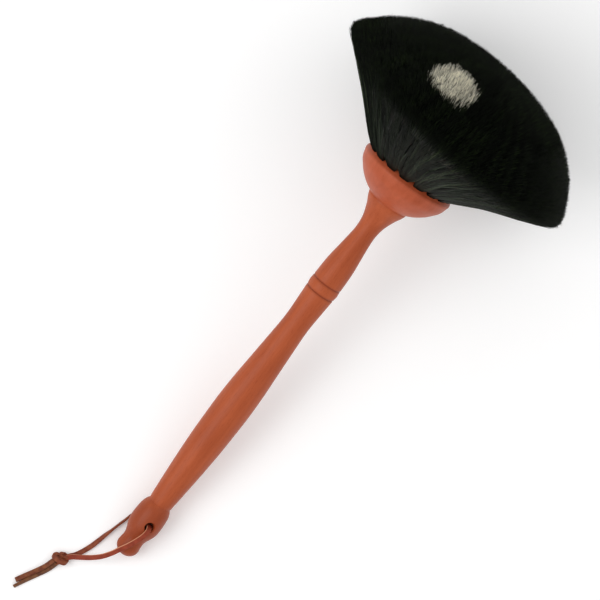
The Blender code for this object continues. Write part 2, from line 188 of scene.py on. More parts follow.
# Hairs that make the brush's end: shares of the way along them, and their radii there
TIP_HAIRS_PER_MM2 = 3.0
TIP_SHARES = np.array([0.80, 0.90, 1.0])
TIP_RADII = np.array([0.17, 0.15, 0.07])
TIP_COARSENESS = (0.8, 1.25)  # from the finest hair to the coarsest
TIP_SCATTER = 0.6  # how far a hair's end strays
TIP_UNEVENNESS, WHITE_UNEVENNESS = 0.08, 0.15  # how much shorter than the rest a hair may be
CELL_OVERLAP = 1.04  # how far a tuft's hairs reach into the cells beside it
# Longer hairs that make its side
SIDE_SHARES = np.array([-0.02, 0.02, 0.06, 0.12, 0.22, 0.36, 0.52, 0.68, 0.84, 1.0])
SIDE_RADII = np.interp(SIDE_SHARES, [0.0, 0.6, 1.0], [0.19, 0.16, 0.07])
SIDE_COARSENESS = (0.75, 1.3)
# The side hairs of an outer tuft, and a few strays that stand off them: how many, how deep in the
# cell they start, how short they may be, how far their ends stray, and how thick they are
SIDE_HAIRS = [(1500, 0.5, 0.75, 0.9, 1.0), (9, 0.1, 0.9, 2.2, 0.6)]
LOCKS = 15  # locks of hair in one tuft that wave together
LOCK_BLUR = 0.4  # how far a hair may lie from its lock, in locks
LOCK_SHARE = 0.45  # how much of a hair's shade is its lock's
WAVE_ANGLES = (4, 11)  # from the longest wave to the shortest, in radians along a hair
WAVE_SIDEWAYS, WAVE_OUTWARD = 2.6, 0.8
WAVE_END = 1.4  # the share of a hair's length at which its waves would die down
WHITE_PATCH = (0.05, 0.0, 0.93, 0.98)  # middle and half size of the white hair in its cell
WHITE_RAGGEDNESS = 0.13
WHITE_HAIRS = 5200


# Camera


def make_camera():
    data = bpy.data.cameras.new("camera")
    data.sensor_width = SENSOR
    data.lens = SENSOR * CAMERA_HEIGHT / VIEW_WIDTH
    data.clip_start, data.clip_end = 0.5, 20.0
    camera = bpy.data.objects.new("camera", data)
    right = VIEW_UP.cross(Vector((0, 0, 1)))
    back = Vector((0, 0, 1))
    turn = Matrix((right, VIEW_UP, back)).transposed().to_4x4()
    camera.matrix_world = Matrix.Translation((*VIEW_CENTRE, CAMERA_HEIGHT)) @ turn
    bpy.context.collection.objects.link(camera)
    bpy.context.scene.camera = camera


# Shared mesh tools


def add_object(name, mesh, *materials):
    made = bpy.data.objects.new(name, mesh)
    for item in materials:
        mesh.materials.append(item)
    bpy.context.collection.objects.link(made)
    return made


def mesh_from_arrays(name, points, quads, triangles):
    """A mesh from whole arrays of corners, which is quick for many small faces."""
    mesh = bpy.data.meshes.new(name)
    mesh.vertices.add(len(points))
    mesh.vertices.foreach_set("co", np.ascontiguousarray(points, np.float32).ravel())
    corners = np.concatenate([quads.ravel(), triangles.ravel()]).astype(np.int32)
    mesh.loops.add(len(corners))
    mesh.loops.foreach_set("vertex_index", corners)
    starts = np.concatenate([
        np.arange(len(quads)) * 4,
        len(quads) * 4 + np.arange(len(triangles)) * 3,
    ]).astype(np.int32)
    mesh.polygons.add(len(starts))
    mesh.polygons.foreach_set("loop_start", starts)
    mesh.update(calc_edges=True)
    mesh.shade_smooth()
    return mesh


def ringed_faces(rings, around):
    """Quads between closed rings of points, and triangles that close the first and the last ring
    on two more points. They face out of rings that turn right-handed about the way they follow."""
    row, turn = np.meshgrid(np.arange(rings - 1), np.arange(around), indexing="ij")
    after = (turn + 1) % around
    low, high = row * around, (row + 1) * around
    quads = np.stack([low + turn, low + after, high + after, high + turn], axis=-1).reshape(-1, 4)
    ring = np.arange(around)
    following = (ring + 1) % around
    start, end = rings * around, (rings - 1) * around
    triangles = np.concatenate([
        np.stack([following, ring, np.full(around, start)], axis=1),
        np.stack([end + ring, end + following, np.full(around, start + 1)], axis=1),
    ])
    return quads, triangles


def smooth_through(stations, step):
    """Points on a smooth curve through the stations, about one step apart."""
    points = [Vector(s) for s in stations]
    padded = [2 * points[0] - points[1], *points, 2 * points[-1] - points[-2]]
    curve = []
    for before, start, end, after in zip(padded, padded[1:], padded[2:], padded[3:]):
        count = max(1, round((end - start).length / step))
        for i in range(count):
            t = i / count
            curve.append(0.5 * (
                2 * start + (end - before) * t
                + (2 * before - 5 * start + 4 * end - after) * t**2
                + (3 * start - before - 3 * end + after) * t**3
            ))
    return curve + [points[-1]]


def eased(share):
    share = np.clip(share, 0.0, 1.0)
    return share * share * (3 - 2 * share)


# Materials


def new_material(name, roughness):
    """A Principled material, with its node tree and its shader."""
    made = bpy.data.materials.new(name)
    made.use_nodes = True
    shader = made.node_tree.nodes["Principled BSDF"]
    shader.inputs["Roughness"].default_value = roughness
    return made, made.node_tree, shader


def node(tree, kind, links=(), **values):
    """A node with its input links, given as (input, source socket), and its settings."""
    made = tree.nodes.new(kind)
    for key, value in values.items():
        if key.startswith("in_"):
            made.inputs[key[3:].replace("_", " ")].default_value = value
        else:
            setattr(made, key, value)
    for key, source in links:
        tree.links.new(source, made.inputs[key])
    return made


def ramp(tree, source, stops):
    """The colour that a ramp of (position, colour) stops gives to a number."""
    made = node(tree, "ShaderNodeValToRGB", [("Fac", source)])
    elements = made.color_ramp.elements
    while len(elements) < len(stops):
        elements.new(0.5)
    for element, (position, colour) in zip(elements, stops):
        element.position = position
        element.color = (*colour, 1.0)
    return made.outputs["Color"]


def mixed(tree, factor, first, second, blend="MIX"):
    """The colour that mixes the first into the second by a factor, a number or a socket."""
    made = node(tree, "ShaderNodeMix", data_type="RGBA", blend_type=blend)
    tree.links.new(first, made.inputs[6])
    tree.links.new(second, made.inputs[7])
    if isinstance(factor, float):
        made.inputs["Factor"].default_value = factor
    else:
        tree.links.new(factor, made.inputs["Factor"])
    return made.outputs[2]


def brush_coordinates(tree, scale):
    """Texture coordinates in the brush's own frame, in metres, with a scale for each axis."""
    inverse = LIE.inverted()
    source = node(tree, "ShaderNodeTexCoord").outputs["Object"]
    local = node(
        tree, "ShaderNodeMapping", [("Vector", source)],
        in_Location=inverse.translation, in_Rotation=inverse.to_euler(),
    ).outputs["Vector"]
    return node(tree, "ShaderNodeMapping", [("Vector", local)], in_Scale=scale).outputs["Vector"]


def wood_material(name, light, dark, roughness):
    """Oiled pear wood: faint streaks and clouds, fine pores, and a satin surface."""
    made, tree, shader = new_material(name, roughness)
    shader.inputs["Specular IOR Level"].default_value = 0.22
    streaks = node(
        tree, "ShaderNodeTexNoise", [("Vector", brush_coordinates(tree, (300, 300, 14)))],
        in_Scale=1.0, in_Detail=5.0, in_Roughness=0.55,
    ).outputs["Fac"]
    clouds = node(
        tree, "ShaderNodeTexNoise", [("Vector", brush_coordinates(tree, (55, 55, 24)))],
        in_Scale=1.0, in_Detail=3.0,
    ).outputs["Fac"]
    pores = node(
        tree, "ShaderNodeTexNoise", [("Vector", brush_coordinates(tree, (2600, 2600, 180)))],
        in_Scale=1.0, in_Detail=2.0,
    ).outputs["Fac"]
    base = ramp(tree, streaks, [(0.3, dark), (0.7, light)])
    tint = ramp(tree, clouds, [(0.3, (0.90, 0.84, 0.80)), (0.7, (1.05, 1.06, 1.08))])
    spots = ramp(tree, pores, [(0.30, (0.84, 0.78, 0.74)), (0.42, (1, 1, 1))])
    colour = mixed(tree, 1.0, mixed(tree, 1.0, base, tint, "MULTIPLY"), spots, "MULTIPLY")
    # Darker where marked: stain on the pommel, painted shade in the grooves
    stain = node(tree, "ShaderNodeAttribute", attribute_name="stain").outputs["Fac"]
    deep = node(tree, "ShaderNodeRGB")
    deep.outputs[0].default_value = (dark[0] * 0.50, dark[1] * 0.36, dark[2] * 0.30, 1.0)
    tree.links.new(mixed(tree, stain, colour, deep.outputs[0]), shader.inputs["Base Color"])
    rough = node(
        tree, "ShaderNodeMapRange", [("Value", clouds)],
        in_To_Min=roughness - 0.06, in_To_Max=roughness + 0.08,
    )
    tree.links.new(rough.outputs["Result"], shader.inputs["Roughness"])
    bump = node(tree, "ShaderNodeBump", [("Height", pores)], in_Strength=0.15, in_Distance=0.0001)
    tree.links.new(bump.outputs["Normal"], shader.inputs["Normal"])
    return made


def leather_material():
    """Reddish latigo lace, darker and duller on some stretches and in the knot, with paler cut edges.
    """
    made, tree, shader = new_material("lace_leather", 0.6)
    shader.inputs["Specular IOR Level"].default_value = 0.25
    source = node(tree, "ShaderNodeTexCoord").outputs["Object"]
    clouds = node(
        tree, "ShaderNodeTexNoise", [("Vector", source)], in_Scale=260.0, in_Detail=4.0,
    ).outputs["Fac"]
    grain = node(
        tree, "ShaderNodeTexNoise", [("Vector", source)], in_Scale=2600.0, in_Detail=3.0,
    ).outputs["Fac"]
    lighter = ramp(tree, clouds, [(0.3, (0.20, 0.026, 0.010)), (0.7, (0.30, 0.048, 0.019))])
    darkened = ramp(tree, clouds, [(0.35, (0.09, 0.024, 0.009)), (0.65, (0.21, 0.082, 0.028))])
    darkness = node(tree, "ShaderNodeAttribute", attribute_name="darkened").outputs["Fac"]
    face = mixed(tree, darkness, lighter, darkened)
    edge = node(tree, "ShaderNodeAttribute", attribute_name="cut_edge").outputs["Fac"]
    pale = node(tree, "ShaderNodeRGB")
    pale.outputs[0].default_value = (0.60, 0.26, 0.14, 1.0)
    tree.links.new(mixed(tree, edge, face, pale.outputs[0]), shader.inputs["Base Color"])
    bump = node(tree, "ShaderNodeBump", [("Height", grain)], in_Strength=0.3, in_Distance=0.0001)
    tree.links.new(bump.outputs["Normal"], shader.inputs["Normal"])
    return made


def hair_material(name, along, spread, roughness, specular):
    """Natural hair: its colour along a strand, which holds painted shade, and each strand's own shade
    of it.
    """
    made, tree, shader = new_material(name, roughness)
    shader.inputs["Specular IOR Level"].default_value = specular
    place = node(tree, "ShaderNodeUVMap", uv_map=HAIR_MAP).outputs["UV"]
    parts = node(tree, "ShaderNodeSeparateXYZ", [("Vector", place)])
    colour = ramp(tree, parts.outputs["Y"], along)
    shade = ramp(tree, parts.outputs["X"], spread)
    tree.links.new(mixed(tree, 1.0, colour, shade, "MULTIPLY"), shader.inputs["Base Color"])
    return made


# Lace


def strip_section(width, thickness):
    """A strip's rounded outline as (across, up)."""
    corner = thickness * CORNER_SHARE
    points = []
    for side_x, side_y, start in ((1, 1, 0), (-1, 1, 90), (-1, -1, 180), (1, -1, 270)):
        for i in range(CORNER_STEPS + 1):
            angle = math.radians(start + 90 * i / CORNER_STEPS)
            x = side_x * (width / 2 - corner) + corner * math.cos(angle)
            y = side_y * (thickness / 2 - corner) + corner * math.sin(angle)
            points.append((x, y))
    return np.array(points)


def interpolate_faces(faces, shares):
    """The ways the strip's broad side faces, at shares of its length."""
    keys = np.array([f[0] for f in faces])
    ways = np.array([f[1] for f in faces], float)
    return np.stack([np.interp(shares, keys, ways[:, k]) for k in range(3)], axis=1)


def unit(vectors):
    return vectors / np.linalg.norm(vectors, axis=-1, keepdims=True)


def sweep(name, line, up, section):
    """A closed strip that carries a section along a line, with its up side facing up."""
    tangent = unit(np.gradient(line, axis=0))
    up = unit(up - tangent * np.sum(up * tangent, axis=1, keepdims=True))
    side = np.cross(tangent, up)
    points = (
        line[:, None, :]
        + side[:, None, :] * section[None, :, 0, None]
        + up[:, None, :] * section[None, :, 1, None]
    ).reshape(-1, 3)
    points = np.concatenate([points, line[:1], line[-1:]])
    quads, triangles = ringed_faces(len(line), len(section))
    return mesh_from_arrays(name, points, quads[:, [0, 3, 2, 1]], triangles[:, [1, 0, 2]])


def mark(mesh, name, values):
    """Stores one number for each point of a mesh."""
    attribute = mesh.attributes.new(name, "FLOAT", "POINT")
    attribute.data.foreach_set("value", np.ascontiguousarray(values, np.float32))


def mark_leather(mesh, section, rings, pale_side, darkened):
    """Marks the pale cut edge, on the +1 or -1 side of the strip or 0 for none, and how much darker
    the strip is.
    """
    across = section[:, 0] / np.abs(section[:, 0]).max()
    edge = np.tile(across * pale_side > CUT_EDGE_START, rings)
    mark(mesh, "cut_edge", np.concatenate([edge, np.zeros(2)]))
    mark(mesh, "darkened", np.full(len(mesh.vertices), darkened))


def make_strand(name, route, faces, pale_side, darkened, leather):
    """One strand of the lace along its route, set down so that its own lowest edge rests on the
    table where the CAD's round lace does."""
    line = np.array(smooth_through(route, LACE_STEP))
    tangent = unit(np.gradient(line, axis=0))
    up = interpolate_faces(faces, np.linspace(0, 1, len(line)))
    up = unit(up - tangent * np.sum(up * tangent, axis=1, keepdims=True))
    side = np.cross(tangent, up)
    reach = np.abs(side[:, 2]) * STRIP_WIDTH / 2 + np.abs(up[:, 2]) * STRIP_THICKNESS / 2
    line[:, 2] += reach - CAD_LACE_RADIUS - REST_HEIGHT
    line = line * MM + np.array([BUTT.x, BUTT.y, 0.0])
    section = strip_section(STRIP_WIDTH, STRIP_THICKNESS) * MM
    mesh = sweep(name, line, up, section)
    mark_leather(mesh, section, len(line), pale_side, darkened)
    piece = add_object(name, mesh, leather)
    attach(piece, "lace")
    return piece, line


def make_knot(leather):
    """An overhand knot in the two strands, which lie face to face through it."""
    to_left, to_top = np.array([-VIEW_UP.y, VIEW_UP.x, 0.0]), np.array([*VIEW_UP])
    route = np.array([tuple(p) for p in smooth_through(KNOT_ROUTE, LACE_STEP / 2)])
    centre = np.array(KNOT_CENTRE) * MM + np.array([BUTT.x, BUTT.y, 0.0])
    line = (route @ np.array([to_left, to_top, [0.0, 0.0, 1.0]])) * MM
    outward = unit(line * [1, 1, KNOT_STEEPNESS])
    width, thickness = KNOT_STRIP
    section = strip_section(width, thickness) * MM
    both = bmesh.new()
    for offset in KNOT_LAYERS:
        mesh = sweep("layer", centre + line + outward * thickness * offset * MM, outward, section)
        mark_leather(mesh, section, len(line), 0, KNOT_DARKENED)
        both.from_mesh(mesh)
        bpy.data.meshes.remove(mesh)
    mesh = bpy.data.meshes.new("lace_overhand_knot")
    both.to_mesh(mesh)
    both.free()
    mesh.shade_smooth()
    piece = add_object("lace_overhand_knot", mesh, leather)
    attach(piece, "lace")
    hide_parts("lace_knot")
    return piece


def make_lace():
    """The lace's two strands, its knot and its two tails, with the facts of each stretch."""
    leather = leather_material()
    knot = make_knot(leather)
    front = [*FRONT_ROUTE, FRONT_IN_KNOT]
    back = [*BACK_ROUTE, BACK_IN_KNOT]
    left = [LEFT_TAIL_IN_KNOT, *LEFT_TAIL_ROUTE]
    right = [RIGHT_TAIL_IN_KNOT, *RIGHT_TAIL_ROUTE]
    # The fifth column is how much darker and duller each stretch is
    stretches = [
        ("front_strand", front, FRONT_FACES, 1, 0.0, "knot", [knot]),
        ("back_strand", back, BACK_FACES, 0, 0.45, "knot", [knot]),
        ("left_tail", left, LEFT_TAIL_FACES, 0, 0.75, "bare", []),
        ("right_tail", right, RIGHT_TAIL_FACES, 0, 1.0, "bare", []),
    ]
    for name, route, faces, pale_side, darkened, far_end, others in stretches:
        piece, line = make_strand(f"lace_{name}_strap", route, faces, pale_side, darkened, leather)
        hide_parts(f"lace_{name}")


# Wood


def arc(centre, radius, start, end, steps):
    """Points (along the axis, radius) of an arc; its angles turn from the axis outwards."""
    angles = np.linspace(start, end, steps + 1)
    return [(centre[0] + radius * math.cos(a), centre[1] + radius * math.sin(a)) for a in angles]


def handle_outline():
    """(along the axis, radius) in mm, from the butt to the tenon's end."""
    nub = []
    for i in range(NUB_STEPS):
        angle = math.radians(90) * i / NUB_STEPS
        nub.append((NUB_LENGTH * (1 - math.cos(angle)), NUB_RADIUS * math.sin(angle)))
    outline = [*nub, *smooth_through(POMMEL, OUTLINE_STEP)]
    for section in (GRIP, BEAD, NECK):
        outline += smooth_through(section, OUTLINE_STEP)
        if section is not NECK:
            along, radius = section[-1]
            outline.append((along + GROOVE_HALF_WIDTH, radius - GROOVE_DEPTH))
    end = SHOULDER + TENON_LENGTH
    return [
        *outline, (SHOULDER, SHOULDER_RADIUS),
        (SHOULDER, TENON_RADIUS), (end, TENON_RADIUS), (end, 0.0),
    ]


def head_outline():
    """(along the axis, radius) in mm, from the dome's pole round to the socket's floor."""
    dome = arc((DOME_CENTRE, 0.0), DOME_RADIUS, 0.0, RIM_START, DOME_STEPS)
    inside = DOME_RADIUS - RIM_RADIUS
    middle = (DOME_CENTRE + inside * math.cos(RIM_START), inside * math.sin(RIM_START))
    rim = arc(middle, RIM_RADIUS, RIM_START, RIM_END, RIM_STEPS)
    bowl = smooth_through([rim[-1], *BOWL], OUTLINE_STEP)
    base, socket_radius = SHOULDER + SEAM, TENON_RADIUS + GAP
    floor = SHOULDER + TENON_LENGTH + GAP
    return [
        *dome, *rim[1:], *bowl[1:], (base, HEAD_BASE_RADIUS),
        (base, socket_radius), (floor, socket_radius), (floor, 0.0),
    ]


def turned_mesh(name, outline, steps):
    """A turned body in the row frame. The outline starts and ends on the axis, and runs towards
    +Z on its outer side."""
    outline = np.array([tuple(p) for p in outline])
    rings = outline[1:-1]
    angle = np.arange(steps) * 2 * math.pi / steps
    points = np.stack([
        np.outer(rings[:, 1], np.cos(angle)),
        np.outer(rings[:, 1], np.sin(angle)),
        np.repeat(rings[:, :1], steps, axis=1),
    ], axis=-1).reshape(-1, 3)
    points = np.concatenate([points, [[0, 0, outline[0, 0]], [0, 0, outline[-1, 0]]]])
    mesh = mesh_from_arrays(name, points * MM, *ringed_faces(len(rings), steps))
    mesh.transform(LIE)
    return mesh


def hole_cutter():
    """The cross hole as a solid, with a rounded mouth at both ends."""
    end = HOLE_HALF_LENGTH + CUTTER_END_LENGTH
    half = [(end, 0.0), (end, HOLE_RADIUS + CUTTER_END_WIDENING)]
    for i in range(MOUTH_STEPS + 1):
        sine = math.sin(math.radians(90) * i / MOUTH_STEPS)
        half.append((HOLE_HALF_LENGTH - MOUTH_DEPTH * sine, HOLE_RADIUS + MOUTH_WIDENING * (1 - sine)))
    outline = [(-along, radius) for along, radius in half] + half[::-1]
    mesh = turned_mesh("hole_cutter", outline, CUTTER_SIDES)
    mesh.transform(LIE.inverted())
    across = PIN.to_track_quat("Z", "Y").to_matrix().to_4x4()
    mesh.transform(Matrix.Translation(HOLE) @ across)
    return add_object("hole_cutter", mesh)


def make_handle(material):
    mesh = turned_mesh("turned_handle", handle_outline(), HANDLE_STEPS)
    piece = add_object("turned_handle", mesh, material)
    apply_cut(piece, hole_cutter())
    finish_wood(piece, "handle")


def apply_cut(piece, cutter):
    """Cuts one object out of another and removes it."""
    boolean = piece.modifiers.new("cut", "BOOLEAN")
    boolean.operation = "DIFFERENCE"
    boolean.solver = "EXACT"
    boolean.object = cutter
    evaluated = piece.evaluated_get(bpy.context.evaluated_depsgraph_get())
    mesh = bpy.data.meshes.new_from_object(evaluated)
    piece.modifiers.clear()
    piece.data = mesh
    bpy.data.objects.remove(cutter)


def stain_of(points):
    """How dark the wood is at its points: painted shade in the grooves, and a little stain on the
    handled pommel.
    """
    local = (points - np.array(BUTT)) / MM
    along = local @ np.array(ALONG)
    pommel = POMMEL_STAIN * (1 - eased((along - POMMEL_STAIN_END) / POMMEL_STAIN_FADE))
    middles = [section[-1][0] + GROOVE_HALF_WIDTH for section in (GRIP, BEAD)]
    # The grooves' darkening is painted shade
    grooves = [np.exp(-(((along - middle) / GROOVE_SHADE_WIDTH) ** 2)) for middle in middles]
    return np.maximum(pommel, GROOVE_SHADE * np.maximum(*grooves))


def finish_wood(piece, cad_node):
    """Stains the pommel and paints shade into the grooves of a turned piece, smooths it, and hides the
    CAD part that it stands for.
    """
    mesh = piece.data
    points = np.empty(len(mesh.vertices) * 3, np.float32)
    mesh.vertices.foreach_get("co", points)
    mark(mesh, "stain", stain_of(points.reshape(-1, 3)))
    mesh.shade_smooth()
    mesh.set_sharp_from_angle(angle=SHARP_ANGLE)
    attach(piece, "brush")
    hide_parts(cad_node)


def make_head(material):
    mesh = turned_mesh("turned_head", head_outline()[::-1], HEAD_STEPS)
    piece = add_object("turned_head", mesh, material)
    finish_wood(piece, "brush_head")


def make_wood():
    handle_wood = wood_material("handle_wood", (0.44, 0.093, 0.029), (0.37, 0.072, 0.020), 0.42)
    head_wood = wood_material("head_wood", (0.46, 0.096, 0.037), (0.40, 0.078, 0.027), 0.42)
    make_handle(handle_wood)
    make_head(head_wood)


# Hair


def directions(polar, azimuth):
    """Unit directions in the brush's frame; azimuth turns from straight up towards +Y."""
    around = np.sin(polar)
    return np.stack([-around * np.cos(azimuth), around * np.sin(azimuth), np.cos(polar)], axis=-1)


def hair_reach(polar, azimuth):
    """Distance of the hair's ends from the dome's centre."""
    swell = np.sin(math.pi * np.minimum(1.0, polar / FULLNESS_SPAN)) ** 2
    to_left = np.sin(polar) ** 4 * np.sin(azimuth)
    corner = np.maximum(0.0, polar - CORNER_START) / (math.radians(HAIR_EDGE) - CORNER_START)
    return HAIR_RADIUS * (1 + HAIR_FULLNESS * swell + UNEVENNESS * to_left - CORNER_CUT * corner**2)


def leaned(offset, distance, polar, azimuth):
    """Offsets from the dome's centre, turned towards -Y by the lean at their distance, which comes
    sooner in the hair of the +Y side."""
    share = np.clip((distance - DOME_RADIUS) / (HAIR_RADIUS - DOME_RADIUS), 0.0, 1.0)
    late, soon = eased(share), 1 - (1 - share) ** 3
    side = np.maximum(0.0, np.sin(polar) * np.sin(azimuth) / math.sin(math.radians(HAIR_EDGE)))
    angle = LEAN * (late + (soon - late) * side)
    x, y, z = np.moveaxis(offset, -1, 0)
    cosine, sine = np.cos(angle), np.sin(angle)
    return np.stack([x, y * cosine - z * sine, y * sine + z * cosine], axis=-1)


def disc_from_square(a, b):
    """Points of the unit disc for points of the square from -1 to 1."""
    return a * np.sqrt(1 - b * b / 2), b * np.sqrt(1 - a * a / 2)


def row_frame(points):
    """Points in mm in the brush's frame as points in metres in the row frame."""
    turn = np.array(LIE.to_3x3())
    return points @ turn.T * MM + np.array(BUTT)


def pressed(points):
    """Points of the hair, with those near or below the table eased up into a thin layer on it."""
    height = points[..., 2]
    eased_height = SOFT_FLOOR * np.exp(np.minimum(height - SOFT_FLOOR, 0.0) / SOFT_FLOOR)
    points[..., 2] = np.where(height < SOFT_FLOOR, eased_height, height)
    return points


class Tuft:
    """Where one tuft's hair runs: a round root in its hole, spreading to fill its cell."""

    def __init__(self, name, polar, inner, outer, azimuth, half_width):
        self.name = name
        self.inner, self.outer = inner, outer
        self.azimuth, self.half_width = azimuth, half_width
        self.root = directions(polar, azimuth)
        self.outward = directions(polar + math.pi / 2, azimuth)
        self.sideways = np.array([math.sin(azimuth), math.cos(azimuth), 0.0])

    def cell(self, a, b):
        """The directions' polar angle and azimuth for places a, b of the cell, each from -1 to 1."""
        if self.inner == 0:
            x, y = disc_from_square(a, b)
            return np.hypot(x, y) * self.outer, np.arctan2(y, x)
        polar = (self.inner + self.outer) / 2 + a * (self.outer - self.inner) / 2
        return polar, self.azimuth + b * self.half_width

    def at(self, a, b, share):
        """Places in the brush's frame, at shares of the hair's length above the wood."""
        polar, azimuth = self.cell(a, b)
        distance = DOME_RADIUS + share * (hair_reach(polar, azimuth) - DOME_RADIUS)
        flat_a, flat_b = np.clip(a, -1, 1), np.clip(b, -1, 1)
        round_a, round_b = disc_from_square(flat_a, flat_b)
        x = round_a * (1 - SQUARENESS) + flat_a * SQUARENESS
        y = round_b * (1 - SQUARENESS) + flat_b * SQUARENESS
        bundle = (
            self.root * distance[..., None]
            + self.outward * (x * TUFT_RADIUS)[..., None]
            + self.sideways * (y * TUFT_RADIUS)[..., None]
        )
        full = directions(polar, azimuth) * distance[..., None]
        open_share = np.clip((distance - DOME_RADIUS) / SPREAD_LENGTH, 0.0, 1.0)
        spread = 1 - (1 - open_share) ** 2
        placed = leaned(bundle + (full - bundle) * spread[..., None], distance, polar, azimuth)
        placed[..., 2] += DOME_CENTRE
        return placed


def tubes(lines, radii):
    """Closed three-sided tubes: points, quads and triangles, for lines of shape (hairs, levels, 3)."""
    hairs, levels, _ = lines.shape
    tangent = unit(np.gradient(lines, axis=1))
    upright = np.abs(tangent[..., 2:]) >= 0.8
    reference = np.where(upright, [1.0, 0.0, 0.0], [0.0, 0.0, 1.0])
    side = unit(np.cross(tangent, reference))
    up = np.cross(side, tangent)
    points = np.empty((hairs, levels, 3, 3))
    for corner in range(3):
        angle = 2 * math.pi * corner / 3
        way = side * math.cos(angle) + up * math.sin(angle)
        points[:, :, corner] = lines + way * radii[..., None]
    base = (np.arange(hairs) * levels * 3)[:, None, None]
    row = (np.arange(levels - 1) * 3)[None, :, None]
    corner = np.arange(3)[None, None, :]
    after = (corner + 1) % 3
    quads = np.stack([
        base + row + corner, base + row + after, base + row + 3 + after, base + row + 3 + corner,
    ], axis=-1).reshape(-1, 4)
    start = np.arange(hairs) * levels * 3
    end = start + (levels - 1) * 3
    triangles = np.concatenate([
        np.stack([start, start + 2, start + 1], axis=1),
        np.stack([end, end + 1, end + 2], axis=1),
    ])
    return points.reshape(-1, 3), quads, triangles


def core(tuft):
    """The dense inside of a tuft, a little smaller than its cell and shorter than its hair."""
    ring = np.linspace(0, 2 * math.pi, CORE_SIDES, endpoint=False)
    size = np.max(np.abs(np.stack([np.cos(ring), np.sin(ring)])), axis=0)
    a, b = np.cos(ring) / size * CORE_WIDTH, np.sin(ring) / size * CORE_WIDTH
    top = CORE_LENGTH + CORE_RISE
    rows = [tuft.at(a, b, np.full(CORE_SIDES, share)) for share in CORE_SHARES]
    rows += [tuft.at(a * inset, b * inset, np.full(CORE_SIDES, top)) for inset in CORE_INSETS]
    ends = [tuft.at(np.zeros(1), np.zeros(1), np.array([s])) for s in (CORE_SHARES[0], top)]
    return np.concatenate([*rows, *ends]), *ringed_faces(len(rows), CORE_SIDES)


def hairs_at(tuft, a, b, shares, lengths, scatter, rng):
    """Lines of hairs in the brush's frame, in locks that wave together, and each hair's shade."""
    share = shares[None, :] * lengths[:, None]
    lines = tuft.at(a[:, None] + 0 * share, b[:, None] + 0 * share, share)
    grown = np.clip(share, 0, 1)[..., None]
    blurred = (b + 1) / 2 * LOCKS + rng.normal(0, LOCK_BLUR, len(b))
    lock = np.clip(blurred.astype(int), 0, LOCKS - 1)
    waves = rng.uniform(*WAVE_ANGLES, (LOCKS, 2))[lock][:, None, :]
    phases = rng.uniform(0, 2 * math.pi, (LOCKS, 2))[lock][:, None, :]
    swing = np.sin(grown * waves + phases) * grown * (WAVE_END - grown)
    lines += tuft.sideways * swing[..., :1] * WAVE_SIDEWAYS
    lines += tuft.outward * swing[..., 1:] * WAVE_OUTWARD
    shades = rng.uniform(0, 1, LOCKS)[lock] * LOCK_SHARE
    shades += rng.uniform(0, 1, len(b)) * (1 - LOCK_SHARE)
    return lines + rng.normal(0, 1, (len(a), 1, 3)) * scatter * grown**1.5, shades


def varied(radii, coarseness, count, rng):
    """Radii along hairs, with each hair's own coarseness."""
    return radii[None, :] * rng.uniform(*coarseness, (count, 1))


def tip_hairs(tuft, rng):
    """The hairs that make the brush's end: places in the cell, lines, radii and shades."""
    if tuft.inner == 0:
        area = 2 * math.pi * HAIR_RADIUS**2 * (1 - math.cos(tuft.outer))
    else:
        depth = math.cos(tuft.inner) - math.cos(tuft.outer)
        area = 2 * tuft.half_width * HAIR_RADIUS**2 * depth
    count = WHITE_HAIRS if tuft.name == WHITE_TUFT else round(area * TIP_HAIRS_PER_MM2)
    a, b = rng.uniform(-CELL_OVERLAP, CELL_OVERLAP, (2, count))
    if tuft.name.startswith("tuft_outer"):
        a = np.minimum(a, 1.0)
    unevenness = WHITE_UNEVENNESS if tuft.name == WHITE_TUFT else TIP_UNEVENNESS
    lengths = 1 - rng.uniform(0, 1, count) ** 2 * unevenness
    lines, shades = hairs_at(tuft, a, b, TIP_SHARES, lengths, TIP_SCATTER, rng)
    return a, b, lines, varied(TIP_RADII, TIP_COARSENESS, count, rng), shades


def side_hairs(tuft, rng):
    """Groups of long hairs of an outer tuft's outer side: lines, radii and shades."""
    groups = []
    for count, depth, shortest, scatter, scale in SIDE_HAIRS:
        a = 1 - rng.uniform(0, 1, count) ** 2 * depth
        b = rng.uniform(-1, 1, count)
        lengths = 1 - rng.uniform(0, 1, count) ** 3 * (1 - shortest)
        lines, shades = hairs_at(tuft, a, b, SIDE_SHARES, lengths, scatter, rng)
        groups.append((lines, varied(SIDE_RADII * scale, SIDE_COARSENESS, count, rng), shades))
    return groups


def hair_places(lines, shares, shades):
    """The hairs' places on their map: each one's shade, and the share of the way along it."""
    hairs, levels, _ = lines.shape
    places = np.empty((hairs, levels, 3, 2))
    places[..., 0] = np.clip(shades, MAP_MARGIN, 1 - MAP_MARGIN)[:, None, None]
    places[..., 1] = np.clip(shares, MAP_MARGIN, 1 - MAP_MARGIN)[None, :, None]
    return places.reshape(-1, 2)


def white_patch(a, b, rng):
    """Which hairs of the white tuft are white: those in a ragged oval of its cell."""
    middle_a, middle_b, half_a, half_b = WHITE_PATCH
    size = np.hypot((a - middle_a) / half_a, (b - middle_b) / half_b)
    return size + rng.normal(0, WHITE_RAGGEDNESS, len(a)) < 1


def tuft_parts(tuft, rng):
    """A tuft's bodies as (points, quads, triangles, places on the map, material slot)."""
    dense = core(tuft)
    parts = [(*dense, np.zeros((len(dense[0]), 2)), 1)]
    a, b, *tips = tip_hairs(tuft, rng)
    white = white_patch(a, b, rng) if tuft.name == WHITE_TUFT else np.zeros(len(a), bool)
    groups = [(*(part[~white] for part in tips), TIP_SHARES, 0)]
    if white.any():
        groups.append((*(part[white] for part in tips), TIP_SHARES, 2))
    if tuft.name.startswith("tuft_outer"):
        groups += [(*group, SIDE_SHARES, 0) for group in side_hairs(tuft, rng)]
    for lines, radii, shades, shares, slot in groups:
        parts.append((*tubes(lines, radii), hair_places(lines, shares, shades), slot))
    return parts


